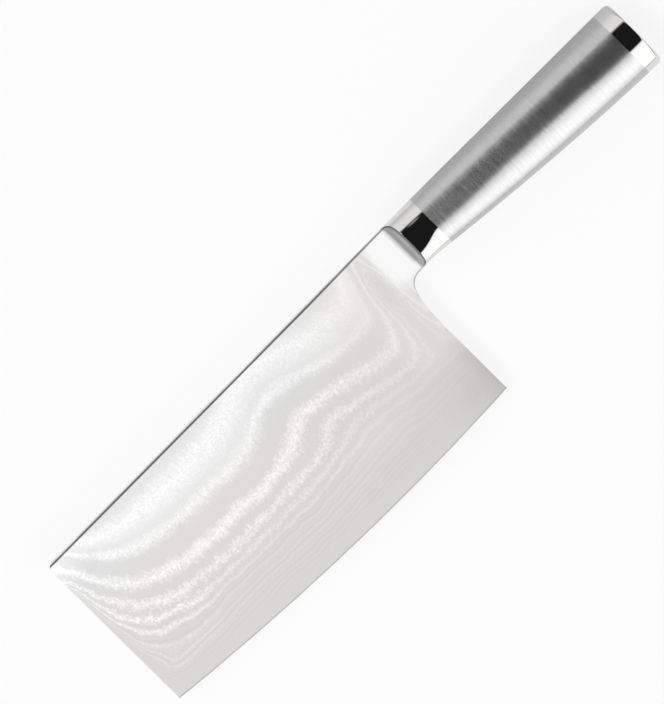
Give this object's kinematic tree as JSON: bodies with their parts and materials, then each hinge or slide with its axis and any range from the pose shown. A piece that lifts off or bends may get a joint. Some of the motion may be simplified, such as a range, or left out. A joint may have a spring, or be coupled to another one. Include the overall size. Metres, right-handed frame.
{
  "type": "vegetable cleaver",
  "caption": "Vegetable cleaver: tall laminated blade with a gently curved edge, scooped and polished bolster, and a flared hollow metal handle closed by a domed end cap.",
  "frame": {"origin": "middle of the knife's box, on the surface that it lies on", "axes": "+X from the tip to the butt along the spine, +Y towards the spine, +Z out of the left side of the blade"},
  "size_m": [0.2978, 0.0768, 0.0196],
  "materials": {
    "core_steel": "hard stainless core, fine satin grind along the edge",
    "patterned_steel": "satin laminated cladding with a flowing layered pattern",
    "polished_steel": "mirror polished stainless, satin on the band and in the scoop of the bolster",
    "brushed_steel": "stainless brushed around the handle",
    "plain_steel": "plain drawn rod, hidden inside the handle"
  },
  "bodies": {
    "root": {"blade_core": "core_steel", "left_cladding": "patterned_steel", "right_cladding": "patterned_steel", "bolster": "polished_steel", "left_handle_shell": "brushed_steel", "right_handle_shell": "brushed_steel", "tang_rod": "plain_steel", "end_cap": "polished_steel"}
  },
  "joints": []
}
